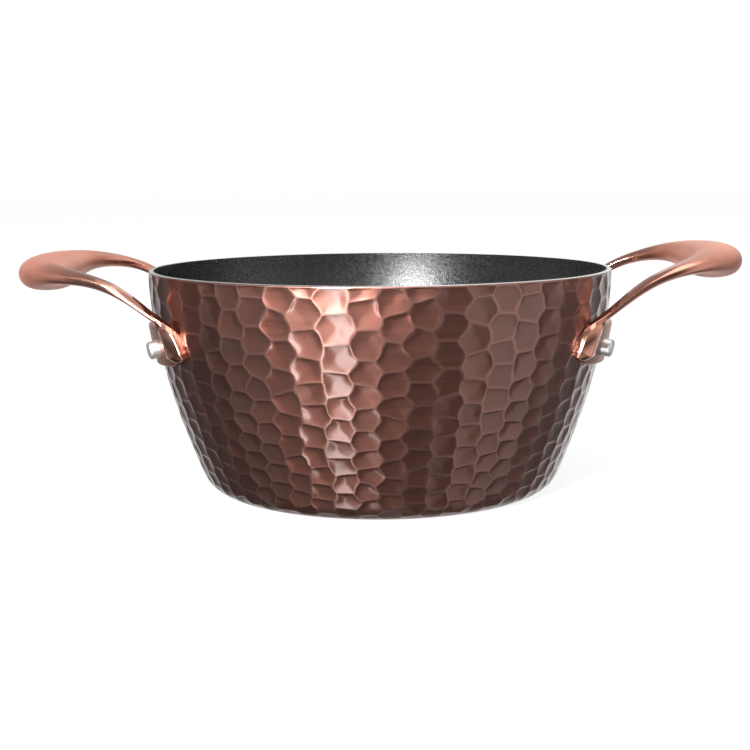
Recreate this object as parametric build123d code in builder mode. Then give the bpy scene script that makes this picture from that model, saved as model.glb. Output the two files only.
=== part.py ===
"""Two-handled cooking pot: a flared, hammered pan body with a non-stick lining, and two cast loop
handles, each riveted through the wall near both ends of its saddle.

Millimetres. The pot stands on z = 0 with its axis on Z, and its handles lie along X.
"""
from build123d import *
from math import cos, radians, sin
import os

os.makedirs("parts", exist_ok=True)

# ---- Driving dimensions -------------------------------------------------------------------------
# Pan body
rim_diameter = 240.0        # over the outside of the lip
pot_height = 114.4          # from the table to the top of the lip
base_diameter = 163.0       # flat underside
heel_radius = 13.3          # rounded heel between the underside and the wall
heel_sweep = 67.0           # degrees that the heel turns before the wall takes over
wall_fullness = 0.31        # how far the wall holds the directions of the heel and of the lip
wall_thickness = 2.6
base_thickness = 4.0
lip_round = 0.8             # rounding on the outer edge of the lip
lining_thickness = 0.4      # sprayed non-stick coat

# Steel plate let into the underside
disc_diameter = 140.0
disc_thickness = 0.8

# Rivets
rivet_angle = 21.5          # degrees from the middle of the handle, seen from above
rivet_height = 78.0         # where the rivet's axis meets the outside of the wall
shank_diameter = 5.0
head_diameter = 9.0
head_height = 5.0
head_round = 1.4
inner_head_diameter = 12.0
inner_head_height = 1.6
inner_head_round = 1.2
head_bedding = 0.5          # how deep a head is drawn below the surface that it is closed on

# Saddle: the strap of each handle that lies on the wall
saddle_half_width = 70.0    # from the middle of the handle to either end, along Y
saddle_bottom = 69.0
saddle_top = 91.0
saddle_thickness = 2.8
saddle_corner = 10.9        # corner radius of its outline, almost half its height
saddle_edge = 0.9           # rounding along its outer edge

# Loop: two legs that leave the wall and join in a fat grip
handle_reach = 66.9         # from the lip to the outside of the grip
foot_angle = 32.0           # degrees from the middle of the handle to the middle of each foot
foot_bottom = 73.5
foot_top = 86.0
foot_width = 20.0
foot_stand = 4.2            # how far the foot stands off the wall
neck_angle = 29.5
neck_height = 94.0
neck_clearance = 5.0        # from the wall to the middle of the leg where it has come free
neck_width = 9.5
neck_thickness = 4.2
leg_spacing = 116.0         # between the middles of the two legs, halfway out
leg_height = 110.4          # middle of the leg, halfway out
leg_width = 11.0
leg_thickness = 7.0
shoulder_spacing = 99.0     # between the points where the legs turn into the grip
shoulder_height = 116.0
shoulder_setback = 17.5     # from those points out to the middle of the grip
grip_height = 113.0
grip_width = 29.0
grip_thickness = 18.5
section_round = 0.45        # corner radius of a section of the loop, as a share of its thickness
grip_at = 0.5               # middle of the grip, as a share of the loop's length
swell_steps = 6             # sections that carry each leg into the grip
right_grip_lift = 4.4       # the right-hand casting is bent up a little more than the left-hand one
right_shoulder_lift = 2.0

rim_radius = rim_diameter / 2
base_radius = base_diameter / 2


# ---- Pan body -----------------------------------------------------------------------------------
def skin(inset, floor):
    """Draw one skin of the vessel, from its axis out along the floor and up to the lip.

    inset is how far the skin lies inside the outermost one, and floor is its height in the middle.
    The heel moves sideways so that the wall has that inset from where the heel runs into it.
    """
    along = Vector(cos(radians(heel_sweep)), sin(radians(heel_sweep)))
    shift = (inset - floor * along.X) / along.Y
    heel_middle = Vector(base_radius - shift, floor + heel_radius)
    lip = Vector(rim_radius - inset, pot_height)
    Line((0, floor), (heel_middle.X, floor))
    heel = CenterArc(heel_middle, heel_radius, -90, heel_sweep)
    pull = wall_fullness * (lip - heel @ 1).length
    return Bezier(heel @ 1, heel @ 1 + along * pull, lip - Vector(0, pull), lip)


def solid_form(inset, floor):
    """The whole vessel filled up to the lip, as a tool to cut with."""
    with BuildPart() as form:
        with BuildSketch(Plane.XZ):
            with BuildLine():
                wall = skin(inset, floor)
                Polyline(wall @ 1, (0, pot_height), (0, floor))
            make_face()
        revolve(axis=Axis.Z)
    return form.part, wall


outer_form, outer_wall = solid_form(0, 0)


def layer(inset, floor, thickness, floor_thickness):
    """A closed layer of the vessel between two of its skins."""
    with BuildPart() as shell:
        with BuildSketch(Plane.XZ):
            with BuildLine():
                outside = skin(inset, floor)
                inside = skin(inset + thickness, floor + floor_thickness)
                Line(outside @ 1, inside @ 1)
                Line((0, floor), (0, floor + floor_thickness))
            make_face()
        revolve(axis=Axis.Z)
    return shell.part


def wall_frame(angle, height):
    """Plane on the outside of the wall: z is the outward normal and y runs up the wall."""
    low, high = 0.0, 1.0
    for _ in range(40):
        middle = (low + high) / 2
        if (outer_wall @ middle).Y < height:
            low = middle
        else:
            high = middle
    spot = outer_wall @ low
    slope = outer_wall % low
    radial = Vector(cos(radians(angle)), sin(radians(angle)), 0)
    outward = radial * slope.Y - Vector(0, 0, slope.X)
    around = Vector(-radial.Y, radial.X, 0)
    return Plane(origin=radial * spot.X + Vector(0, 0, spot.Y), x_dir=around, z_dir=outward)


rivet_seats = {
    "right_front": wall_frame(-rivet_angle, rivet_height),
    "right_rear": wall_frame(rivet_angle, rivet_height),
    "left_front": wall_frame(180 + rivet_angle, rivet_height),
    "left_rear": wall_frame(180 - rivet_angle, rivet_height),
}
shank_inner_end = -(wall_thickness + lining_thickness + inner_head_height / 2)
shank_outer_end = saddle_thickness + head_height / 2

with BuildPart() as shanks:
    with Locations(*[seat.offset(shank_inner_end) for seat in rivet_seats.values()]):
        Cylinder(
            shank_diameter / 2,
            shank_outer_end - shank_inner_end,
            align=(Align.CENTER, Align.CENTER, Align.MIN),
        )

with BuildPart() as pot_body:
    add(layer(0, 0, wall_thickness, base_thickness))
    with BuildSketch(Plane.XY):
        Circle(disc_diameter / 2)
    extrude(amount=disc_thickness, mode=Mode.SUBTRACT)
    lip_edges = pot_body.edges().filter_by(GeomType.CIRCLE).group_by(Axis.Z)[-1]
    fillet(lip_edges.sort_by(SortBy.RADIUS)[-1], lip_round)
    add(shanks.part, mode=Mode.SUBTRACT)
pot_body.part.label = "pot_body"

with BuildPart() as nonstick_lining:
    add(layer(wall_thickness, base_thickness, lining_thickness, lining_thickness))
    add(shanks.part, mode=Mode.SUBTRACT)
nonstick_lining.part.label = "nonstick_lining"

with BuildPart() as base_disc:
    with BuildSketch(Plane.XY):
        Circle(disc_diameter / 2)
    extrude(amount=disc_thickness)
base_disc.part.label = "base_disc"


# ---- Handles ------------------------------------------------------------------------------------
# The saddle as far in as the pan's axis, so that the pan's form cuts it together with the loop.
with BuildPart() as saddle_block:
    with BuildSketch(Plane.YZ):
        with Locations((0, (saddle_bottom + saddle_top) / 2)):
            RectangleRounded(2 * saddle_half_width, saddle_top - saddle_bottom, saddle_corner)
    extrude(amount=rim_radius + handle_reach)
    add(solid_form(-saddle_thickness, -saddle_thickness)[0], mode=Mode.INTERSECT)
    fillet(saddle_block.faces().sort_by(Axis.X)[-1].edges(), saddle_edge)

with BuildPart() as saddle:
    add(saddle_block.part)
    add(outer_form, mode=Mode.SUBTRACT)

grip_out = rim_radius + handle_reach - grip_width / 2
foot = wall_frame(-foot_angle, foot_bottom)
foot_rise = wall_frame(-foot_angle, foot_top)
neck = wall_frame(-neck_angle, neck_height).offset(neck_clearance)


def across(point):
    """The same point on the rear half of the loop."""
    return Vector(point.X, -point.Y, point.Z)


def swell(start, end, share):
    """Smooth growth from one size to another."""
    return start + (end - start) * share * share * (3 - 2 * share)


def cast_handle(grip_lift, shoulder_lift):
    """A right-hand handle, bent up by its lifts: the loop with its two feet, and the saddle."""
    shoulder = Vector(
        grip_out - shoulder_setback,
        -shoulder_spacing / 2,
        shoulder_height + shoulder_lift,
    )
    leg = Vector((neck.origin.X + shoulder.X) / 2, -leg_spacing / 2, leg_height)
    grip = Vector(grip_out, 0, grip_height + grip_lift)
    front = [foot.origin, foot_rise.origin, neck.origin, leg, shoulder]
    with BuildLine():
        middle_line = Spline(
            *front,
            grip,
            *[across(point) for point in reversed(front)],
            tangents=(foot.y_dir, across(foot.y_dir) * -1),
            tangent_scalars=(1, 1),
        )
    rise_at = middle_line.param_at_point(foot_rise.origin)
    neck_at = middle_line.param_at_point(neck.origin)
    leg_at = middle_line.param_at_point(leg)

    # Sections of the front half: place along the middle line, width and thickness.
    middle_width = (neck_width + leg_width) / 2
    middle_thickness = (neck_thickness + leg_thickness) / 2
    front_sections = [
        (0, foot_width, 2 * foot_stand),
        (rise_at, (foot_width + neck_width) / 2, 2 * foot_stand),
        (neck_at, neck_width, neck_thickness),
        ((neck_at + leg_at) / 2, middle_width, middle_thickness),
    ]
    for step in range(swell_steps):
        share = step / swell_steps
        at = leg_at + (grip_at - leg_at) * share
        width = swell(leg_width, grip_width, share)
        thickness = swell(leg_thickness, grip_thickness, share)
        front_sections.append((at, width, thickness))
    rear_sections = [(1 - at, width, thickness) for at, width, thickness in reversed(front_sections)]

    with BuildPart() as handle:
        for at, width, thickness in [
            *front_sections,
            (grip_at, grip_width, grip_thickness),
            *rear_sections,
        ]:
            along = middle_line % at
            level = Vector(0, 0, 1).cross(along)
            with BuildSketch(Plane(origin=middle_line @ at, x_dir=level, z_dir=along)):
                RectangleRounded(width, thickness, section_round * thickness)
        loft()
        add(saddle_block.part)
        add(outer_form, mode=Mode.SUBTRACT)
        add(shanks.part, mode=Mode.SUBTRACT)
    return handle.part


with BuildPart() as handle_right:
    add(cast_handle(right_grip_lift, right_shoulder_lift))
handle_right.part.label = "handle_right"

with BuildPart() as handle_left:
    mirror(cast_handle(0, 0), about=Plane.YZ)
handle_left.part.label = "handle_left"


# ---- Rivets -------------------------------------------------------------------------------------
seat = rivet_seats["right_front"]
shank_axis = Axis(seat.origin, seat.z_dir)

# Outer head closed on the saddle, shank through the wall, low inner head closed on the lining.
with BuildPart() as rivet_right_front:
    with BuildSketch(seat.offset(saddle_thickness - head_bedding)):
        Circle(head_diameter / 2)
    extrude(amount=head_bedding + head_height)
    fillet(rivet_right_front.edges().sort_by(shank_axis)[-1], head_round)
    with BuildSketch(seat.offset(head_bedding - wall_thickness - lining_thickness)):
        Circle(inner_head_diameter / 2)
    extrude(amount=-head_bedding - inner_head_height)
    fillet(rivet_right_front.edges().sort_by(shank_axis)[0], inner_head_round)
    for clamped in (saddle, pot_body, nonstick_lining):
        add(clamped.part, mode=Mode.SUBTRACT)
    with Locations(seat.offset(shank_inner_end)):
        Cylinder(
            shank_diameter / 2,
            shank_outer_end - shank_inner_end,
            align=(Align.CENTER, Align.CENTER, Align.MIN),
        )
rivet_right_front.part.label = "rivet_right_front"

with BuildPart() as rivet_right_rear:
    mirror(rivet_right_front.part, about=Plane.XZ)
rivet_right_rear.part.label = "rivet_right_rear"

with BuildPart() as rivet_left_front:
    mirror(rivet_right_front.part, about=Plane.YZ)
rivet_left_front.part.label = "rivet_left_front"

with BuildPart() as rivet_left_rear:
    mirror(rivet_right_rear.part, about=Plane.YZ)
rivet_left_rear.part.label = "rivet_left_rear"


for node in (
    pot_body,
    nonstick_lining,
    base_disc,
    handle_left,
    handle_right,
    rivet_left_front,
    rivet_left_rear,
    rivet_right_front,
    rivet_right_rear,
):
    export_step(node.part, f"parts/{node.part.label}.step")
    print(f"{node.part.label}: {node.part.volume:.0f} mm3, valid {node.part.is_valid}")
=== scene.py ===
import math
import random

import bmesh
import bpy
import numpy as np
from mathutils import Matrix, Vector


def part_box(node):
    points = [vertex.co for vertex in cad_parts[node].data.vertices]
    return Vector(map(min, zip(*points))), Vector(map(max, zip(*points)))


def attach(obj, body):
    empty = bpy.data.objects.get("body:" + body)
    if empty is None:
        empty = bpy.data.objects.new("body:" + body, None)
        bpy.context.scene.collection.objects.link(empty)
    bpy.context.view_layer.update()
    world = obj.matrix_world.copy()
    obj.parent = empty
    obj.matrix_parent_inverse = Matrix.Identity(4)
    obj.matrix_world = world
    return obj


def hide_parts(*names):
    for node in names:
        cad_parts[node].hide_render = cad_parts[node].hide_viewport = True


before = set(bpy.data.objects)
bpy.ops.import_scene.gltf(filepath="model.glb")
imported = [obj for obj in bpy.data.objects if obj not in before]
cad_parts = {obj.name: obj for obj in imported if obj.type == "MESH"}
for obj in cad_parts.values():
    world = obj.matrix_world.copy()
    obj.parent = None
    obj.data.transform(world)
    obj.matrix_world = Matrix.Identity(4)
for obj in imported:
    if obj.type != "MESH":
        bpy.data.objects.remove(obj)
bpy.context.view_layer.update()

# Sizes of the object are in millimetres, as in its CAD source. Lights and the camera are in metres.
MM = 0.001

# ---- Sizes of the pot ---------------------------------------------------------------------------
pot_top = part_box("pot_body")[1]
RIM_RADIUS = pot_top.x / MM
POT_HEIGHT = pot_top.z / MM
BASE_RADIUS = 81.5
HEEL_RADIUS = 13.3
HEEL_SWEEP = math.radians(67.0)
WALL_FULLNESS = 0.31
WALL_THICKNESS = 2.6
FLOOR_THICKNESS = 4.0
LIP_ROUND = 0.8
LIP_BEVEL = 0.25
DISC_RADIUS = 70.0
DISC_THICKNESS = 0.8


# ---- The pot's profile --------------------------------------------------------------------------
def skin(inset, floor, arc_points, wall_points):
    """Points (radius, height) of one skin, from where the heel leaves the floor up to the lip."""
    across, up = math.cos(HEEL_SWEEP), math.sin(HEEL_SWEEP)
    shift = (inset - floor * across) / up
    centre_r, centre_z = BASE_RADIUS - shift, floor + HEEL_RADIUS
    turn = np.linspace(-math.pi / 2, -math.pi / 2 + HEEL_SWEEP, arc_points)
    heel = np.stack([centre_r + HEEL_RADIUS * np.cos(turn), centre_z + HEEL_RADIUS * np.sin(turn)], 1)
    low, top = heel[-1], np.array([RIM_RADIUS - inset, POT_HEIGHT])
    pull = WALL_FULLNESS * np.hypot(*(top - low))
    low_pull = low + np.array([across, up]) * pull
    top_pull = top - np.array([0, pull])
    t = np.linspace(0, 1, wall_points)[1:, None]
    wall = (1 - t) ** 3 * low + 3 * t * (1 - t) ** 2 * low_pull
    wall += 3 * t * t * (1 - t) * top_pull + t ** 3 * top
    return np.vstack([heel, wall])


outer = skin(0, 0, 400, 3000)
run = np.r_[0, np.cumsum(np.hypot(*np.diff(outer, axis=0).T))]
LENGTH = run[-1]

# The outer wall as a table: length along the profile, radius, height and outward normal.
ALONG = np.linspace(0, LENGTH, 1500)
RADII = np.interp(ALONG, run, outer[:, 0])
LEVELS = np.interp(ALONG, run, outer[:, 1])
slope_r, slope_z = np.gradient(RADII, ALONG), np.gradient(LEVELS, ALONG)
slope = np.hypot(slope_r, slope_z)
NORMAL_R, NORMAL_Z = slope_z / slope, -slope_r / slope


def radius_at(along):
    return np.interp(along, ALONG, RADII)


def along_at(level):
    """The length up the profile at a height on the wall."""
    climbing = ALONG > 1
    return np.interp(level, LEVELS[climbing], ALONG[climbing])


def on_wall(angle, along, rise):
    """Points at an angle and a length up the profile, rising off the outer wall."""
    r = radius_at(along) + rise * np.interp(along, ALONG, NORMAL_R)
    z = np.interp(along, ALONG, LEVELS) + rise * np.interp(along, ALONG, NORMAL_Z)
    return np.stack([r * np.cos(angle), r * np.sin(angle), z], -1)


def smooth(start, end, value):
    """0 before start, 1 after end, with an even ease between them."""
    share = np.clip((value - start) / (end - start), 0, 1)
    return share * share * (3 - 2 * share)


# ---- Mesh helpers -------------------------------------------------------------------------------
def show(name, data):
    """An object of this data, in the scene."""
    obj = bpy.data.objects.new(name, data)
    bpy.context.scene.collection.objects.link(obj)
    return obj


def make(name, verts, faces, materials, merge, index=None, points=None):
    """A smooth-shaded mesh object with point values, its points merged within a distance."""
    mesh = bpy.data.meshes.new(name)
    mesh.from_pydata([tuple(p) for p in np.asarray(verts) * MM], [], faces)
    for material in materials:
        mesh.materials.append(material)
    if index is not None:
        mesh.polygons.foreach_set("material_index", np.asarray(index, np.int32))
    for key, values in points.items():
        layer = mesh.attributes.new(key, "FLOAT", "POINT")
        layer.data.foreach_set("value", np.asarray(values, np.float32))
    shape = bmesh.new()
    shape.from_mesh(mesh)
    bmesh.ops.remove_doubles(shape, verts=shape.verts, dist=merge * MM)
    bmesh.ops.recalc_face_normals(shape, faces=shape.faces)
    shape.to_mesh(mesh)
    shape.free()
    mesh.shade_smooth()
    mesh.update()
    return show(name, mesh)


def band(low, high, count):
    """Faces between two closed rings of points, by the rings' first indices."""
    return [(low + m, low + (m + 1) % count, high + (m + 1) % count, high + m) for m in range(count)]


def fan(ring, count, middle):
    """Faces from a closed ring of points in to one point."""
    return [(ring + m, ring + (m + 1) % count, middle) for m in range(count)]


def round_corners(outline, share, reach, steps):
    """A closed outline whose corners are curves, each over a share of its sides but within a reach."""
    points = []
    for k, corner in enumerate(outline):
        sides = (outline[k - 1] - corner, outline[(k + 1) % len(outline)] - corner)
        start, end = (corner + side * min(share, reach / np.linalg.norm(side)) for side in sides)
        points += [(1 - u) ** 2 * start + 2 * u * (1 - u) * corner + u * u * end for u in steps]
    return points


# ---- Node helpers -------------------------------------------------------------------------------
class Nodes:
    """Short ways to wire a node tree."""

    def __init__(self, owner):
        owner.use_nodes = True
        self.tree = owner.node_tree

    def new(self, kind, **values):
        """A node with its properties, or else its inputs, set by name."""
        node = self.tree.nodes.new(kind)
        for key, value in values.items():
            if hasattr(node, key):
                setattr(node, key, value)
            else:
                node.inputs[key.replace("_", " ")].default_value = value
        return node

    def link(self, a, b):
        self.tree.links.new(a, b)

    def put(self, value, socket):
        """A number, a colour or another socket, into a socket."""
        if isinstance(value, tuple):
            socket.default_value = (*value, 1)
        elif isinstance(value, (int, float)):
            socket.default_value = value
        else:
            self.link(value, socket)

    def math(self, operation, *values):
        node = self.new("ShaderNodeMath", operation=operation)
        for slot, value in enumerate(values):
            self.put(value, node.inputs[slot])
        return node.outputs[0]

    def range(self, fac, low, high, start=0.0, end=1.0):
        """A value between low and high, as fac goes from start to end."""
        node = self.new("ShaderNodeMapRange", From_Min=start, From_Max=end, To_Min=low, To_Max=high)
        self.link(fac, node.inputs["Value"])
        return node.outputs["Result"]

    def ramp(self, fac, *stops):
        """A colour, or a grey level, along a value: stops are (place, colour or level)."""
        node = self.new("ShaderNodeValToRGB")
        elements = node.color_ramp.elements
        while len(elements) < len(stops):
            elements.new(0.5)
        for element, (place, colour) in zip(elements, stops):
            element.position = place
            element.color = (*colour, 1) if isinstance(colour, tuple) else (colour, colour, colour, 1)
        self.link(fac, node.inputs["Fac"])
        return node.outputs["Color"]

    def mix(self, fac, a, b):
        node = self.new("ShaderNodeMix", data_type="RGBA")
        for slot, value in ((0, fac), (6, a), (7, b)):
            self.put(value, node.inputs[slot])
        return node.outputs[2]

    def blend(self, fac, a, b):
        """One shader going over to another."""
        node = self.new("ShaderNodeMixShader")
        for slot, value in enumerate((fac, a, b)):
            self.put(value, node.inputs[slot])
        return node.outputs[0]

    def split(self, vector):
        """The three outputs x, y and z of a vector."""
        node = self.new("ShaderNodeSeparateXYZ")
        self.link(vector, node.inputs[0])
        return node.outputs

    def seen(self):
        """1 for what the camera sees, straight or in a metal or a glass."""
        path = self.new("ShaderNodeLightPath").outputs
        mirrored = self.math("MAXIMUM", path["Is Camera Ray"], path["Is Glossy Ray"])
        return self.math("MAXIMUM", mirrored, path["Is Transmission Ray"])


class Finish(Nodes):
    """The nodes of a surface of the object."""

    def __init__(self, name):
        self.material = bpy.data.materials.new(name)
        super().__init__(self.material)
        self.shader = self.tree.nodes["Principled BSDF"]

    def set(self, **values):
        """The shader's inputs: numbers, or sockets to link."""
        for key, value in values.items():
            self.put(value, self.shader.inputs[key.replace("_", " ")])

    def place(self, scale=(1, 1, 1)):
        """Object coordinates in metres, stretched by a scale for each axis."""
        mapping = self.new("ShaderNodeMapping", Scale=scale)
        self.link(self.new("ShaderNodeTexCoord").outputs["Object"], mapping.inputs["Vector"])
        return mapping.outputs["Vector"]

    def noise(self, vector, scale, detail=3.0, rough=0.55):
        node = self.new("ShaderNodeTexNoise", Scale=scale, Detail=detail, Roughness=rough)
        self.link(vector, node.inputs["Vector"])
        return node.outputs["Fac"]

    def value(self, key):
        """A value that the mesh keeps at its points."""
        return self.new("ShaderNodeAttribute", attribute_name=key).outputs["Fac"]

    def bump(self, height, strength, distance, under=None):
        node = self.new("ShaderNodeBump", Strength=strength, Distance=distance)
        self.link(height, node.inputs["Height"])
        if under is not None:
            self.link(under, node.inputs["Normal"])
        self.link(node.outputs["Normal"], self.shader.inputs["Normal"])
        return node.outputs["Normal"]


# ---- Finishes -----------------------------------------------------------------------------------
def hammered_lacquer():
    """Brushed aluminium under a dark copper lacquer, with a painted highlight along the ridges."""
    nodes = Finish("hammered_lacquer")
    tone = nodes.value("tone")
    ridge = nodes.value("ridge")
    streak = nodes.noise(nodes.place((30, 30, 2600)), 1.0, 4.0, 0.6)
    cloud = nodes.noise(nodes.place(), 38.0, 3.0, 0.5)
    dark, middling, light = (0.143, 0.055, 0.041), (0.168, 0.064, 0.047), (0.197, 0.072, 0.051)
    dents = nodes.ramp(tone, (0.0, dark), (0.5, middling), (1.0, light))
    clouded = nodes.mix(nodes.range(cloud, 0.0, 0.55, 0.35, 0.75), dents, (0.178, 0.080, 0.061))
    rubbed = nodes.mix(nodes.range(streak, 0.0, 0.25, 0.45, 0.8), clouded, (0.25, 0.113, 0.086))
    # A painted highlight: the ridges get a lighter colour, as if their rounded tops caught the light.
    with_painted_ridges = nodes.mix(nodes.range(ridge, 0.0, 0.48, 0.40, 1.0), rubbed, (0.42, 0.21, 0.165))
    nodes.set(Base_Color=with_painted_ridges, Roughness=nodes.range(streak, 0.33, 0.43, 0.2, 0.8), Metallic=1.0)
    nodes.set(Coat_Weight=1.0, Coat_Roughness=0.16, Coat_IOR=1.5)
    nodes.bump(streak, 0.10, 0.0004)
    return nodes.material


def bare_lip():
    """Turned, uncoated metal."""
    nodes = Finish("bare_lip")
    turned = nodes.noise(nodes.place((900, 900, 60)), 1.0)
    colour = nodes.ramp(turned, (0.25, (0.60, 0.60, 0.60)), (0.8, (0.86, 0.86, 0.85)))
    nodes.set(Base_Color=colour, Roughness=nodes.range(turned, 0.22, 0.36), Metallic=1.0)
    nodes.bump(turned, 0.08, 0.0002)
    return nodes.material


def nonstick():
    """A sprayed charcoal coat with lighter specks."""
    nodes = Finish("nonstick")
    grain = nodes.noise(nodes.place(), 1500.0, 3.0, 0.6)
    patch = nodes.noise(nodes.place(), 60.0, 2.0, 0.5)
    mottle = nodes.noise(nodes.place(), 620.0, 3.0, 0.65)
    cells = nodes.new("ShaderNodeTexVoronoi", feature="F1", Scale=900.0)
    nodes.link(nodes.place(), cells.inputs["Vector"])
    speck = nodes.range(cells.outputs["Distance"], 1.0, 0.0, 0.14, 0.24)
    rare = nodes.range(nodes.noise(nodes.place(), 420.0, 2.0, 0.6), 0.0, 1.0, 0.52, 0.62)
    ground = nodes.ramp(grain, (0.3, (0.004, 0.004, 0.004)), (0.7, (0.012, 0.012, 0.012)))
    specked = nodes.mix(nodes.math("MULTIPLY", speck, rare), ground, (0.055, 0.055, 0.055))
    rough = nodes.math("ADD", nodes.range(mottle, 0.15, 0.36, 0.3, 0.7), nodes.range(patch, -0.02, 0.04))
    nodes.set(Base_Color=specked, Roughness=rough, Metallic=0.0, IOR=1.6)
    nodes.bump(grain, 0.22, 0.0004, nodes.bump(mottle, 0.12, 0.0010))
    return nodes.material


def rose_gold():
    """A plated casting: polished legs, a satin grip and a duller saddle."""
    nodes = Finish("rose_gold")
    satin = nodes.value("satin")
    wave = nodes.noise(nodes.place(), 90.0, 3.0, 0.5)
    fine = nodes.noise(nodes.place(), 1400.0, 2.0, 0.5)
    plated = nodes.ramp(wave, (0.3, (0.60, 0.262, 0.185)), (0.7, (0.66, 0.300, 0.215)))
    colour = nodes.mix(nodes.value("saddle"), plated, (0.44, 0.208, 0.152))
    worn = nodes.range(wave, -0.02, 0.03, 0.3, 0.7)
    rough = nodes.math("ADD", nodes.range(satin, 0.10, 0.60), worn)
    nodes.set(Base_Color=colour, Roughness=rough, Metallic=1.0)
    nodes.set(Coat_Weight=0.25, Coat_Roughness=0.30, Coat_IOR=1.5)
    nodes.bump(fine, 0.03, 0.0001)
    return nodes.material


def rivet_metal():
    """Tumbled aluminium."""
    nodes = Finish("rivet_metal")
    fine = nodes.noise(nodes.place(), 900.0, 3.0, 0.6)
    wide = nodes.noise(nodes.place(), 160.0, 2.0, 0.5)
    colour = nodes.ramp(wide, (0.3, (0.70, 0.71, 0.71)), (0.7, (0.82, 0.83, 0.83)))
    nodes.set(Base_Color=colour, Roughness=nodes.range(fine, 0.36, 0.50), Metallic=1.0)
    nodes.bump(fine, 0.12, 0.0002)
    return nodes.material


def base_steel():
    """Steel turned on a lathe, in fine rings round the pot's axis."""
    nodes = Finish("base_steel")
    x, y, _ = nodes.split(nodes.new("ShaderNodeTexCoord").outputs["Object"])
    square = nodes.math("ADD", nodes.math("MULTIPLY", x, x), nodes.math("MULTIPLY", y, y))
    ring = nodes.new("ShaderNodeCombineXYZ")
    nodes.link(nodes.math("POWER", square, 0.5), ring.inputs[0])
    turned = nodes.noise(ring.outputs[0], 900.0, 4.0, 0.7)
    stain = nodes.noise(nodes.place(), 45.0, 3.0, 0.5)
    colour = nodes.ramp(turned, (0.35, (0.38, 0.38, 0.38)), (0.68, (0.70, 0.70, 0.69)))
    rough = nodes.math("ADD", nodes.range(turned, 0.24, 0.36), nodes.range(stain, -0.03, 0.05))
    nodes.set(Base_Color=colour, Roughness=rough, Metallic=1.0)
    nodes.bump(turned, 0.18, 0.0003)
    return nodes.material


LACQUER, LIP, COAT = hammered_lacquer(), bare_lip(), nonstick()
GOLD, RIVET, STEEL = rose_gold(), rivet_metal(), base_steel()

# ---- Hammered shell -----------------------------------------------------------------------------
COLUMNS = 56                            # dents round the pot
COLUMN_TURN = 2 * math.pi / COLUMNS
DENTS_TOP = LENGTH - 0.9                # where the hammering meets the rounding of the lip
DENTS_LOW = 2.5                         # where it has died out in the heel
FADE = 9.0                              # over which it grows to its full depth above that
DEPTH = 0.84                            # of the deepest dents, near the rim
BOWL_REACH = 0.74                       # of a hammer's ball, in columns, where it comes up to the skin
BOWL_SHARE, CUP_SHARE = 0.45, 0.55      # of a dent's depth: the ball's mark, and a cup to its own border
CUP_LEAST, CUP_CHANCE = 0.8, 0.5        # of the cup's share: the shallowest, and what chance adds to it
MIDDLE_SHIFT = np.array([-0.08, 0.34])  # of a dent's deepest place towards the border: sideways, up
PITCH_LOW, PITCH_TOP = 8.2, 13.9        # between dents up the wall
GROWTH = (PITCH_TOP - PITCH_LOW) / LENGTH
SHAKE_UP, SHAKE_ASIDE = 0.13, 0.15      # of a dent, in pitches and in columns
BEND = 0.045                            # of the ridges between dents, in columns
BORDER_STEP = 0.19                      # between points of a dent's border, in columns
RINGS = (1.0, 0.90, 0.75, 0.56, 0.36, 0.17)     # of points, from a dent's border to its middle

# Height up the wall in columns: a table that keeps angles, so that a round dent is round.
widths = (RADII[1:] + RADII[:-1]) / 2 * COLUMN_TURN
UP = np.r_[0, np.cumsum(np.diff(ALONG) / widths)]
UP_TOP, UP_LOW = np.interp(DENTS_TOP, ALONG, UP), np.interp(DENTS_LOW, ALONG, UP)


def up_at(along):
    """Height in columns at a length up the profile, carried on straight past its ends."""
    if 0 <= along <= LENGTH:
        return float(np.interp(along, ALONG, UP))
    end = 0 if along < 0 else -1
    return float(UP[end] + (along - ALONG[end]) / (RADII[end] * COLUMN_TURN))


def hammer_seeds():
    """A shaken honeycomb whose pitch grows upwards: by column, seeds of (across, up, chance)."""
    rng = random.Random(7)
    rows = int(math.log(PITCH_TOP / PITCH_LOW) / GROWTH) + 3
    columns = []
    for column in range(COLUMNS):
        seeds = []
        for row in range(-1, rows):
            place = row + 0.5 * (column % 2) + 0.18
            along = PITCH_LOW * (math.exp(GROWTH * place) - 1) / GROWTH
            along += rng.uniform(-SHAKE_UP, SHAKE_UP) * (PITCH_LOW + GROWTH * max(along, 0))
            across = column + 0.46 + rng.uniform(-SHAKE_ASIDE, SHAKE_ASIDE)
            if -6 < along < LENGTH + 14:
                seeds.append((across, up_at(along), rng.random()))
        columns.append(seeds)
    return columns


def clip(outline, nx, ny, limit):
    """The part of an outline where nx * x + ny * y <= limit."""
    kept = []
    for a, b in zip(outline, outline[1:] + outline[:1]):
        past_a, past_b = nx * a[0] + ny * a[1] - limit, nx * b[0] + ny * b[1] - limit
        if past_a <= 0:
            kept.append(a)
        if (past_a < 0 < past_b) or (past_b < 0 < past_a):
            t = past_a / (past_a - past_b)
            kept.append((a[0] + (b[0] - a[0]) * t, a[1] + (b[1] - a[1]) * t))
    return kept


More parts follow.
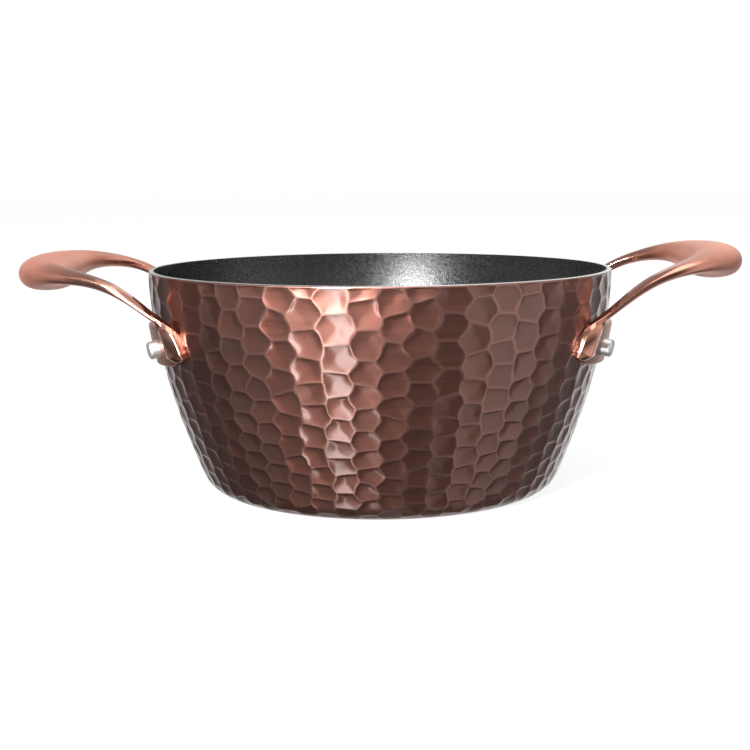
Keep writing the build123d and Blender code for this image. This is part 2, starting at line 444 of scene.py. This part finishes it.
def dent_border(seed, column, columns):
    """Points round the places that lie nearer to this seed than to any other."""
    across, up, _ = seed
    outline = [(across + x, up + y) for x, y in ((-2, -2), (2, -2), (2, 2), (-2, 2))]
    for aside in range(column - 3, column + 4):
        lap = aside // COLUMNS * COLUMNS
        for other_across, other_up, _ in columns[aside % COLUMNS]:
            nx, ny = other_across + lap - across, other_up - up
            if abs(ny) < 3 and (nx, ny) != (0, 0):
                half_way = (nx * (other_across + lap + across) + ny * (other_up + up)) / 2
                outline = clip(outline, nx, ny, half_way)
    outline = clip(clip(outline, 0, 1, UP_TOP), 0, -1, -UP_LOW)
    border = []
    for a, b in zip(outline, outline[1:] + outline[:1]):
        x, y = b[0] - a[0], b[1] - a[1]
        length = math.hypot(x, y)
        if length >= 1e-5 and len(outline) > 2:
            count = max(1, round(length / BORDER_STEP))
            border += [(a[0] + x * k / count, a[1] + y * k / count) for k in range(count)]
    return np.array(border)


def dent_rise(across, up, seed, cup):
    """How far places in a dent lie off the skin, from how deep the cup is there (0 to -1)."""
    along = np.interp(up, UP, ALONG)
    deepest = DEPTH * radius_at(along) / RIM_RADIUS * smooth(DENTS_LOW, DENTS_LOW + FADE, along)
    bowl = np.minimum(np.hypot(across - seed[0], up - seed[1]) / BOWL_REACH, 1) ** 2 - 1
    return deepest * (BOWL_SHARE * bowl + CUP_SHARE * cup * (CUP_LEAST + CUP_CHANCE * seed[2]))


def bent(across, up):
    """Columns at a place, drawn a little aside so that the ridges between dents aren't straight."""
    turn = COLUMN_TURN * across
    return across + BEND * (np.sin(61 * turn + 5.1 * up) + np.sin(37 * turn - 7.3 * up + 1.0))


def hammered(across, up, rise):
    """Points on the hammered wall."""
    return on_wall(bent(across, up) * COLUMN_TURN, np.interp(up, UP, ALONG), rise)


class Shell:
    """The points, faces and values of the pot's shell as it grows: material 0 is lacquer, 1 bare metal."""

    def __init__(self):
        self.verts, self.faces, self.materials, self.ridge, self.tone = [], [], [], [], []
        self.edges = {UP_TOP: {}, UP_LOW: {}}

    def points(self, places, ridge, tone=0.5):
        """Adds points and gives the first one's index."""
        start = len(self.verts)
        self.verts += list(places)
        self.ridge += [ridge] * len(places)
        self.tone += [tone] * len(places)
        return start

    def cover(self, faces, material=0):
        self.faces += faces
        self.materials += [material] * len(faces)

    def note_edges(self, across, up, rise):
        """Keeps a dent's rises where the hammering ends, by column."""
        for level, found in self.edges.items():
            for x, y, off in zip(across, up, rise):
                if abs(y - level) < 1e-7:
                    found[round(float(bent(x, y)) % COLUMNS, 5) % COLUMNS] = off

    def dent(self, border, seed):
        """A dent: rings of points from its border to its deepest place."""
        middle = border.mean(0) * 0.5 + np.array([seed[0], min(max(seed[1], UP_LOW), UP_TOP)]) * 0.5
        middle = middle + (border.max(0) - middle) * MIDDLE_SHIFT
        reach = np.hypot(*(border - middle).T).mean()
        rings = []
        for t in RINGS:
            across, up = (middle + (border - middle) * t).T
            inner = np.hypot(across - middle[0], up - middle[1]) / reach
            rise = dent_rise(across, up, seed, -(1 - t ** 4 - (1 - t * t) * np.minimum(inner, 1.3) ** 2))
            # t ** 5 sets how much painted ridge highlight each ring gets: all of it on the border, almost
            # none inside the dent.
            rings.append(self.points(hammered(across, up, rise), t ** 5, seed[2] if t < 1 else 0.5))
            if t == 1:
                self.note_edges(across, up, rise)
        deepest = self.points([hammered(*middle, dent_rise(*middle, seed, -1))], 0.0, seed[2])
        for outside, inside in zip(rings, rings[1:]):
            self.cover(band(outside, inside, len(border)))
        self.cover(fan(rings[-1], len(border), deepest))

    def turned(self, angles, profile, material, ridge):
        """Rings of points at the same angles on a profile of (radius, height), and their last ring."""
        rings = []
        for r, z in profile:
            r = np.broadcast_to(r, angles.shape)
            ring = np.stack([r * np.cos(angles), r * np.sin(angles), np.full(angles.shape, z)], -1)
            rings.append(self.points(ring, ridge))
        for low, high in zip(rings, rings[1:]):
            self.cover(band(low, high, len(angles)), material)
        return rings[-1]

    def closed(self, ring, count, height, material):
        """A flat between a ring and the pot's axis."""
        self.cover(fan(ring, count, self.points([(0, 0, height)], 0.0)), material)


def pan_shell():
    """The pot's body: hammered outside, with a bare lip and inside, and a seat for the steel disc."""
    shell = Shell()
    columns = hammer_seeds()
    for column, seeds in enumerate(columns):
        for seed in seeds:
            border = dent_border(seed, column, columns)
            if len(border):
                shell.dent(border, seed)

    # The lip's rounded edge starts from the dents that it cuts, and the bare metal from half way round.
    places, rises = np.array(sorted(shell.edges[UP_TOP].items())).T
    angles = places * COLUMN_TURN
    start = radius_at(DENTS_TOP) + rises * np.interp(DENTS_TOP, ALONG, NORMAL_R)
    edge = [(start, np.interp(DENTS_TOP, ALONG, LEVELS))]
    for turn in np.radians((25, 50, 75, 90)):
        inwards, down = LIP_ROUND * (1 - math.cos(turn)), LIP_ROUND * (1 - math.sin(turn))
        edge.append((start - inwards, POT_HEIGHT - down))
    # The lacquered part of the lip's rounding gets the full painted ridge highlight.
    shell.turned(angles, edge[:3], 0, 1.0)
    bore = RIM_RADIUS - WALL_THICKNESS
    bevel = [(LIP_BEVEL, 0.0), (0.07, 0.07), (0.0, LIP_BEVEL)]
    inside = skin(WALL_THICKNESS, FLOOR_THICKNESS, 8, 16)[::-1]
    lining_side = edge[2:] + [(bore + out, POT_HEIGHT - down) for out, down in bevel] + list(inside[1:])
    shell.closed(shell.turned(angles, lining_side, 1, 0.0), len(angles), FLOOR_THICKNESS, 1)

    # The heel below the dents, the underside and the recess for the disc.
    angles = np.array(sorted(shell.edges[UP_LOW])) * COLUMN_TURN
    heel = [(radius_at(DENTS_LOW * k), np.interp(DENTS_LOW * k, ALONG, LEVELS)) for k in (1, 0.66, 0.33, 0)]
    recess = [(0.9, 0.0), (0.4, 0.12), (0.15, 0.45), (0.1, DISC_THICKNESS)]
    under = heel + [(BASE_RADIUS - 3.5, 0.0)] + [(DISC_RADIUS + out, up) for out, up in recess]
    shell.closed(shell.turned(angles, under, 0, 0.0), len(angles), DISC_THICKNESS, 0)
    # The lacquer gets the painted ridge highlight and each dent's random tone as point values.
    values = {"ridge": shell.ridge, "tone": shell.tone}
    return make("pan_shell", shell.verts, shell.faces, [LACQUER, LIP], 0.004, shell.materials, values)


shell = pan_shell()
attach(shell, "root")
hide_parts("pot_body")

# ---- Handles ------------------------------------------------------------------------------------
# Each is drawn on the right: a loop from its front foot (y < 0) over the grip to its back foot.
MIRROR = np.array([1, -1, 1])           # from front to back
UPRIGHT = np.array([0, 0, 1])
SADDLE_HALF, SADDLE_LOW, SADDLE_TOP = 66.0, 67.6, 87.6
SADDLE_THICKNESS, SADDLE_CORNER, SADDLE_EDGE = 2.8, 9.3, 0.9
SADDLE_BOW = 4.4                        # how much its ends rise, as a strap does that is bent round a cone
CORNER_POINTS, LONG_PARTS, SHORT_PARTS = 9, 80, 12      # of its outline: each corner and each side
FOOT_ANGLE, FOOT_LOW, FOOT_TOP = math.radians(32.0), 73.5, 86.0
NECK_ANGLE, NECK_LEVEL, NECK_CLEAR = math.radians(29.5), 94.0, 5.0
LEG_ASIDE, LEG_LEVEL = 58.0, 110.4
SHOULDER_ASIDE, SHOULDER_SETBACK, SHOULDER_LEVEL = 49.5, 17.5, 116.0
HANDLE_REACH, GRIP_HALF, GRIP_LEVEL = 66.9, 14.5, 113.0     # beyond the rim, of its width, and its height
GRIP_OUT = RIM_RADIUS + HANDLE_REACH - GRIP_HALF
DROP_SHARE = 0.7                        # of a shoulder's drop that its leg takes
NECK_SIZE, LEG_SIZE, GRIP_MORE = (7.6, 3.0), (10.0, 5.0), (19.0, 13.5)     # widths and thicknesses
CHAMFER = (0.24, 0.28)                  # of the width and the thickness
SOFT_LEG, SOFT_MORE = 0.14, 0.36        # rounding of the chamfers, and how much more the grip has
ROUND_FROM, ROUND_TO, SATIN_TO = 1.05, 0.62, 0.75       # of the leg's length, and of half the loop
SADDLE_SATIN = 0.60
STATIONS, SECTION_POINTS = 221, 40      # along a loop and round it
FINE, EVENED = 400, 31                  # samples of half a loop, and those that its sizes are evened over
DEEPEST = 0.9                           # that the loop goes into the wall

# Corners of a foot on the wall: height, how much higher each corner lies, and (aside, off the wall).
FOOT_ROWS = (
    (
        73.4, (2.4, 2.2, 0.5, 0.0, 1.4, 1.6),
        ((-9.2, -0.5), (-9.0, 2.3), (-4.2, 2.9), (1.8, 2.9), (9.2, 2.3), (9.4, -0.5)),
    ),
    (
        76.4, (2.0, 1.9, 0.4, 0.0, 1.0, 1.2),
        ((-9.2, -0.5), (-9.0, 2.8), (-4.2, 6.4), (1.8, 5.2), (9.0, 2.9), (9.4, -0.5)),
    ),
    (
        87.5, (0, 0, 0, 0, 0, 0),
        ((-5.2, -0.5), (-4.6, 3.3), (-1.0, 6.9), (3.6, 6.0), (8.4, 3.6), (8.8, -0.5)),
    ),
)
# And round the leg that it runs up into: height, and (aside, out).
LEG_ROWS = (
    (93.5, ((-3.7, -1.4), (-3.9, 0.4), (-1.9, 1.6), (1.9, 1.6), (3.9, 0.4), (3.7, -1.4))),
    (99.0, ((-2.0, -0.8), (-2.2, 0.2), (-1.0, 0.9), (1.0, 0.9), (2.2, 0.2), (2.0, -0.8))),
)


def wall_point(angle, level, rise=0.0):
    """A point on the wall, at an angle towards the front."""
    return on_wall(-angle, along_at(level), rise)


def wall_up(angle, level):
    """The direction up the wall there."""
    along = along_at(level)
    out, up = -np.interp(along, ALONG, NORMAL_Z), np.interp(along, ALONG, NORMAL_R)
    return np.array([out * math.cos(-angle), out * math.sin(-angle), up])


def hermite(start, leaving, end, arriving, u):
    """Points between two, by a curve's slopes at both."""
    return (
        (2 * u ** 3 - 3 * u ** 2 + 1) * start + (u ** 3 - 2 * u ** 2 + u) * leaving
        + (3 * u ** 2 - 2 * u ** 3) * end + (u ** 3 - u ** 2) * arriving
    )


def spline(points, start, end):
    """A smooth curve through points, with its slopes at both ends: where it passes them, and its places."""
    points = np.array(points)
    knots = np.r_[0, np.cumsum(np.linalg.norm(np.diff(points, axis=0), axis=1))]
    gaps = np.diff(knots)
    terms, sums = np.eye(len(points)), np.zeros(points.shape)
    sums[0], sums[-1] = start, end
    for k in range(1, len(points) - 1):
        before, after = gaps[k - 1], gaps[k]
        terms[k, k - 1:k + 2] = after, 2 * (before + after), before
        coming, going = points[k] - points[k - 1], points[k + 1] - points[k]
        sums[k] = 3 * (after / before * coming + before / after * going)
    slopes = np.linalg.solve(terms, sums)

    def at(places):
        k = np.clip(np.searchsorted(knots, places, side="right") - 1, 0, len(gaps) - 1)
        gap = gaps[k][:, None]
        u = (places - knots[k])[:, None] / gap
        return hermite(points[k], gap * slopes[k], points[k + 1], gap * slopes[k + 1], u)

    return knots, at


def ends(rings, count):
    """The two end faces of a row of rings."""
    return [tuple(range(count - 1, -1, -1)), tuple(range((rings - 1) * count, rings * count))]


def held_back(verts):
    """Points with none deeper in the wall than a skin under its surface."""
    radius = np.hypot(verts[:, 0], verts[:, 1])
    along = along_at(np.minimum(verts[:, 2], POT_HEIGHT - 1))
    off = (radius - radius_at(along)) * np.interp(along, ALONG, NORMAL_R)
    push = np.where((off < -DEEPEST) & (verts[:, 2] < POT_HEIGHT - 1), -DEEPEST - off, 0)
    verts[:, :2] *= (1 + push / radius)[:, None]
    return verts


class Loop:
    """The line of a handle: stations at even lengths, from the front foot to the back one."""

    def __init__(self, grip_lift, shoulder_lift, front_drop):
        neck = wall_point(NECK_ANGLE, NECK_LEVEL, NECK_CLEAR)
        shoulder = np.array([GRIP_OUT - SHOULDER_SETBACK, -SHOULDER_ASIDE, SHOULDER_LEVEL + shoulder_lift])
        leg = np.array([(neck[0] + shoulder[0]) / 2, -LEG_ASIDE, LEG_LEVEL])
        feet = [wall_point(FOOT_ANGLE, FOOT_LOW), wall_point(FOOT_ANGLE, FOOT_TOP), neck]
        front = feet + [leg - DROP_SHARE * front_drop * UPRIGHT, shoulder - front_drop * UPRIGHT]
        back = [point * MIRROR for point in (shoulder, leg, *feet[::-1])]
        up = wall_up(FOOT_ANGLE, FOOT_LOW)
        grip = np.array([GRIP_OUT, 0, GRIP_LEVEL + grip_lift])
        knots, at = spline([*front, grip, *back], up, -up * MIRROR)
        places = np.linspace(0, knots[-1], 10 * FINE)
        lengths = np.r_[0, np.cumsum(np.linalg.norm(np.diff(at(places), axis=0), axis=1))]
        self.half = lengths[-1] / 2
        self.neck, self.leg = np.interp(knots[2:4], places, lengths)
        stations = np.linspace(0, lengths[-1], STATIONS)
        self.from_foot = np.minimum(stations, lengths[-1] - stations)
        here = np.interp(stations, lengths, places)
        self.spots = at(here)
        ahead = at(np.clip(here + 0.01, 0, knots[-1])) - at(np.clip(here - 0.01, 0, knots[-1]))
        ahead /= np.linalg.norm(ahead, axis=1)[:, None]
        self.level = np.cross(UPRIGHT, ahead)
        self.level /= np.linalg.norm(self.level, axis=1)[:, None]
        self.rise = np.cross(ahead, self.level)

    def size(self, which):
        """The section's width (0) or thickness (1) at each station, evened out along the loop."""
        place = np.linspace(0, self.half, FINE)
        size = np.interp(place, [self.neck, self.leg], [NECK_SIZE[which], LEG_SIZE[which]])
        size += GRIP_MORE[which] * smooth(self.leg, self.half, place)
        weights = np.exp(-np.linspace(-2, 2, EVENED) ** 2)
        evened = np.convolve(np.pad(size, EVENED // 2, mode="edge"), weights / weights.sum(), "valid")
        return np.interp(self.from_foot, place, evened)

    def tube(self):
        """Points, faces and satin values: chamfered legs that grow into a rounded grip."""
        start = self.leg * ROUND_FROM
        soft = SOFT_LEG + SOFT_MORE * smooth(start, self.half * ROUND_TO, self.from_foot)
        verts = []
        for k, (width, thick) in enumerate(zip(self.size(0), self.size(1))):
            x, y, flat_x, flat_y = width / 2, thick / 2, CHAMFER[0] * width, CHAMFER[1] * thick
            corners = [(x, y - flat_y), (x - flat_x, y), (flat_x - x, y), (-x, y - flat_y)]
            corners += [(-a, -b) for a, b in corners]
            section = round_corners(np.array(corners), soft[k], math.inf, (0, 0.25, 0.5, 0.75, 1.0))
            verts += [self.spots[k] + self.level[k] * a + self.rise[k] * b for a, b in section]
        faces = []
        for k in range(STATIONS - 1):
            faces += band(k * SECTION_POINTS, (k + 1) * SECTION_POINTS, SECTION_POINTS)
        satin = np.repeat(smooth(start, self.half * SATIN_TO, self.from_foot), SECTION_POINTS)
        return held_back(np.array(verts)), faces + ends(STATIONS, SECTION_POINTS), satin

    def foot(self, mirror):
        """Points and faces of a faceted foot that stands on the saddle and ends in the leg."""
        order = slice(None, STATIONS // 2, 1 if mirror[1] > 0 else -1)
        path = [axes[order] * mirror for axes in (self.spots, self.level, self.rise)]
        rows = []
        for level, higher, corners in FOOT_ROWS:
            row = []
            for more, (aside, out) in zip(higher, corners):
                along = along_at(level + more)
                row.append(on_wall(aside / radius_at(along) - FOOT_ANGLE, along, out))
            rows.append(row)
        for level, corners in LEG_ROWS:
            nearest = np.abs(path[0][:, 2] - level).argmin()
            spot, aside, out = (axis[nearest] for axis in path)
            aside = aside if aside[1] > 0 else -aside
            out = out if np.dot(out[:2], spot[:2]) > 0 else -out
            rows.append([spot + aside * x + out * y for x, y in corners])

        # More rows between: straight up the side, then in a curve up the face and into the leg.
        rows = np.array(rows)
        dense = [rows[0] + (rows[1] - rows[0]) * u for u in (0.0, 0.08, 0.90)]
        slopes = np.gradient(rows[1:], axis=0)
        for k in range(3):
            for u in np.linspace(0, 1, 14, endpoint=k == 2):
                dense.append(hermite(rows[k + 1], slopes[k], rows[k + 2], slopes[k + 1], u))
        points = [point for row in dense for point in round_corners(row, 0.4, 0.45, (0, 0.33, 0.67, 1.0))]
        count = len(points) // len(dense)
        faces = []
        for k in range(len(dense) - 1):
            faces += band(k * count, (k + 1) * count, count)
        return np.array(points) * mirror, faces + ends(len(dense), count)


def saddle_ring(inset, rise):
    """The saddle's outline, drawn in by an inset and laid on the wall: from its right end, over its top."""
    half, high = SADDLE_HALF - inset, (SADDLE_TOP - SADDLE_LOW) / 2 - inset
    corner = min(max(SADDLE_CORNER - inset, 0.3), high)
    arcs = []
    for k, (x, y) in enumerate(((1, 1), (-1, 1), (-1, -1), (1, -1))):
        turn = np.radians(np.linspace(90 * k, 90 * k + 90, CORNER_POINTS))
        middle = np.array([x * (half - corner), y * (high - corner)])
        arcs.append(middle + corner * np.stack([np.cos(turn), np.sin(turn)], 1))
    outline = []
    for k, arc in enumerate(arcs):
        start, end = arc[-1], arcs[(k + 1) % 4][0]
        parts = SHORT_PARTS if k % 2 else LONG_PARTS
        outline += [*arc, *(start + (end - start) * part / parts for part in range(1, parts))]
    aside, up = np.array(outline).T
    along = along_at((SADDLE_TOP + SADDLE_LOW) / 2 + up + SADDLE_BOW * (aside / SADDLE_HALF) ** 2)
    return on_wall(np.arcsin(aside / radius_at(along)), along, rise)


def saddle():
    """Points and faces of the strap on the wall: up its side, over its edge and in to the middle."""
    steps = [(0, -0.6), (0, SADDLE_THICKNESS - SADDLE_EDGE)]
    for turn in (0.4, 0.8, 1.2, 1.57):
        inset, down = SADDLE_EDGE * (1 - math.cos(turn)), SADDLE_EDGE * (1 - math.sin(turn))
        steps.append((inset, SADDLE_THICKNESS - down))
    steps += [(inset, SADDLE_THICKNESS) for inset in (1.6, 3, 4.5, 6, 7.5, 8.8)]
    rings = [saddle_ring(*step) for step in steps]
    count = len(rings[0])
    faces = []
    for k in range(len(rings) - 1):
        faces += band(k * count, (k + 1) * count, count)
    # The middle: quads between the last ring's two long sides, and a face at either end.
    last = list(range((len(rings) - 1) * count, len(rings) * count))
    right, left = CORNER_POINTS - 1, CORNER_POINTS - 1 + LONG_PARTS
    low = left + SHORT_PARTS + 2 * (CORNER_POINTS - 1)
    top_side, low_side = last[right:left + 1], last[low:low + LONG_PARTS + 1][::-1]
    faces += [(*top_side[k:k + 2], *low_side[k:k + 2][::-1]) for k in range(LONG_PARTS)]
    faces += [tuple(last[left:low + 1]), tuple(last[:CORNER_POINTS] + last[low + LONG_PARTS:])]
    return np.vstack(rings), faces


def cast_handle(name, side, *lifts):
    """A handle's loop, saddle and feet as one casting, with how satin it is and where its saddle is."""
    loop = Loop(*lifts)
    tube, tube_faces, tube_satin = loop.tube()
    plate, plate_faces = saddle()
    front, front_faces = loop.foot(np.array([1, 1, 1]))
    back, back_faces = loop.foot(MIRROR)
    verts, faces, satin, strap = [], [], [], []
    for points, own_faces, own_satin, own_strap in (
        (tube, tube_faces, tube_satin, 0.0),
        (plate, plate_faces, [SADDLE_SATIN] * len(plate), 1.0),
        (front, front_faces, [0.0] * len(front), 0.0),
        (back, back_faces, [0.0] * len(back), 0.0),
    ):
        faces += [tuple(len(verts) + v for v in face) for face in own_faces]
        verts += list(points * np.array([side, 1, 1]))
        satin += list(own_satin)
        strap += [own_strap] * len(points)
    return make(f"cast_{name}", verts, faces, [GOLD], 0.001, points={"satin": satin, "saddle": strap})


# How much the photo shows the grip and the shoulders lifted, and the front leg dropped.
for name, side, lifts in (("handle_right", 1, (4.4, 2.0, 0.0)), ("handle_left", -1, (0.0, 0.0, 1.8))):
    loop = cast_handle(name, side, *lifts)
    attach(loop, "root")
    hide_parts(name)

# ---- Pieces that keep their CAD shape -----------------------------------------------------------
for name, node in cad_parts.items():
    material = {"nonstick_lining": COAT, "base_disc": STEEL}.get(name)
    if name.startswith("rivet"):
        material = RIVET
    if material:
        node.data.materials.clear()
        node.data.materials.append(material)

# ---- World --------------------------------------------------------------------------------------
# Grey levels by degrees round the room, 0 in front of the pot and growing to the right.
ROOM = (
    (-180, 1.0), (-160, 0.8), (-140, 0.12), (-98, 0.09), (-84, 0.42), (-60, 0.42),
    (-50, 0.10), (-34, 0.10), (-10, 0.32), (18, 0.21), (40, 0.08), (52, 1.0),
    (82, 1.0), (96, 0.14), (134, 0.24), (152, 1.0), (180, 1.0),
)
ABOVE = (
    (-180, 0.38), (-120, 0.38), (-85, 0.22), (-50, 0.20), (-20, 0.50), (30, 0.72),
    (85, 0.80), (110, 0.62), (134, 0.80), (160, 0.95), (180, 0.95),
)
# By height: 0 straight down, 0.5 level, 1 straight up. The room darkens downwards and goes over to ABOVE.
BELOW = ((0.0, 0.27), (0.05, 0.40), (0.12, 0.58), (0.25, 0.80), (0.42, 1.0))
OVER = ((0.52, 0.0), (0.66, 1.0))


def round_room(nodes, turn, degrees):
    return nodes.ramp(turn, *(((angle + 180) / 360, level) for angle, level in degrees))


def studio():
    """Even light on matt surfaces, a graded room in mirrors, and white behind the pot."""
    world = bpy.data.worlds.new("studio")
    bpy.context.scene.world = world
    nodes = Nodes(world)
    nodes.tree.nodes.clear()
    x, y, z = nodes.split(nodes.new("ShaderNodeTexCoord").outputs["Generated"])
    azimuth = nodes.math("ARCTAN2", x, nodes.math("MULTIPLY", y, -1.0))
    turn = nodes.math("MULTIPLY_ADD", azimuth, 0.5 / math.pi, 0.5)
    height = nodes.math("MULTIPLY_ADD", z, 0.5, 0.5)
    sides = nodes.math("MULTIPLY", round_room(nodes, turn, ROOM), nodes.ramp(height, *BELOW))
    room = nodes.mix(nodes.ramp(height, *OVER), sides, round_room(nodes, turn, ABOVE))
    camera_ray = nodes.new("ShaderNodeLightPath").outputs["Is Camera Ray"]
    mirrored = nodes.new("ShaderNodeBackground", Strength=1.0)
    nodes.put(nodes.mix(camera_ray, room, (1, 1, 1)), mirrored.inputs["Color"])
    even = nodes.new("ShaderNodeBackground", Strength=0.55)
    nodes.put((1, 1, 1), even.inputs["Color"])
    out = nodes.new("ShaderNodeOutputWorld")
    nodes.link(nodes.blend(nodes.seen(), even.outputs[0], mirrored.outputs[0]), out.inputs[0])


studio()


# ---- Floor --------------------------------------------------------------------------------------
def pale_floor():
    """Matt and pale, and near white where it is seen."""
    material = bpy.data.materials.new("pale_floor")
    nodes = Nodes(material)
    nodes.tree.nodes.clear()
    matt = nodes.new("ShaderNodeBsdfDiffuse")
    nodes.put((0.86, 0.86, 0.86), matt.inputs["Color"])
    glow = nodes.new("ShaderNodeEmission", Strength=1.12)
    share = nodes.math("MULTIPLY", nodes.seen(), 0.80)
    out = nodes.new("ShaderNodeOutputMaterial")
    nodes.link(nodes.blend(share, matt.outputs[0], glow.outputs[0]), out.inputs[0])
    return material


def floor():
    """A wide ring that stops under the flat of the pot, so that the two don't lie in one plane."""
    inner, outer, steps = 0.0814, 8.0, 72
    around = [math.radians(360 * k / steps) for k in range(steps)]
    verts = [(r * math.cos(a), r * math.sin(a), 0) for r in (inner, outer) for a in around]
    mesh = bpy.data.meshes.new("floor")
    mesh.from_pydata(verts, [], [face[::-1] for face in band(0, steps, steps)])
    mesh.materials.append(pale_floor())
    obj = show("floor", mesh)
    obj.visible_glossy = False
    obj.visible_shadow = False


floor()


# ---- Lights -------------------------------------------------------------------------------------
def graded_glow(name, stops):
    """A light whose strength changes with height: stops are (metres, strength)."""
    material = bpy.data.materials.new(name)
    nodes = Nodes(material)
    nodes.tree.nodes.clear()
    low, high = stops[0][0], stops[-1][0]
    most = max(strength for _, strength in stops)
    z = nodes.split(nodes.new("ShaderNodeTexCoord").outputs["Object"])[2]
    shares = [((level - low) / (high - low), strength / most) for level, strength in stops]
    glow = nodes.new("ShaderNodeEmission", Strength=most)
    nodes.link(nodes.ramp(nodes.range(z, 0.0, 1.0, low, high), *shares), glow.inputs["Color"])
    nodes.link(glow.outputs[0], nodes.new("ShaderNodeOutputMaterial").inputs[0])
    return material


def card(name, azimuth, stops, distance=1.0, width=0.12):
    """An upright soft light that the camera doesn't see, with its strengths at some heights."""
    turn = math.radians(azimuth)
    middle = np.array([math.sin(turn), -math.cos(turn)]) * distance
    half = np.array([math.cos(turn), math.sin(turn)]) * width / 2
    low, high = stops[0][0], stops[-1][0]
    left, right = middle - half, middle + half
    corners = [(*left, low), (*right, low), (*right, high), (*left, high)]
    mesh = bpy.data.meshes.new(name)
    mesh.from_pydata(corners, [], [(0, 1, 2, 3)])
    mesh.materials.append(graded_glow(name, stops))
    obj = show(name, mesh)
    obj.visible_camera = False
    obj.visible_shadow = False


# The strip gives the bright column on the wall. The high card is what the lining mirrors.
card("strip", -23.9, (
    (-2.0, 2.2), (-1.2, 5.4), (-0.6, 10.2), (-0.15, 12.6), (0.10, 12.6),
    (0.17, 24.0), (0.28, 42.0), (0.34, 18.0), (0.38, 4.0),
))
card("high", -19.8, ((0.26, 8.0), (0.34, 90.0), (0.41, 330.0), (0.60, 330.0), (0.68, 20.0)))


def pose(across, up, back, place):
    """A matrix from where an object's axes point and where it stands."""
    return Matrix((*zip(across, up, back, place), (0, 0, 0, 1)))


def lamp(name, place, size, power, aim):
    light = bpy.data.lights.new(name, "AREA")
    light.shape = "SQUARE"
    light.size = size
    light.energy = power
    back = np.array(place) - np.array(aim)
    back /= np.linalg.norm(back)
    across = np.cross(UPRIGHT, back)
    across /= np.linalg.norm(across)
    show(name, light).matrix_world = pose(across, np.cross(back, across), back, place)


lamp("overhead", (0.2, -0.3, 1.6), 1.2, 9.5, (0, 0, 0.06))

# ---- Camera -------------------------------------------------------------------------------------
pan, tilt, roll = (math.radians(degrees) for degrees in (-0.23, 8.59, -0.35))
ahead = np.array([math.sin(pan) * math.cos(tilt), math.cos(pan) * math.cos(tilt), -math.sin(tilt)])
level = np.array([math.cos(pan), -math.sin(pan), 0])
above = np.cross(level, ahead)
across = math.cos(roll) * level + math.sin(roll) * above
upward = math.cos(roll) * above - math.sin(roll) * level
camera = show("camera", bpy.data.cameras.new("camera"))
camera.matrix_world = pose(across, upward, -ahead, (0.0, -0.72, 0.1659))
camera.data.sensor_width = 36.0
camera.data.lens = 65.95
camera.data.clip_start = 0.01
bpy.context.scene.camera = camera

bpy.context.scene.view_settings.view_transform = "Standard"
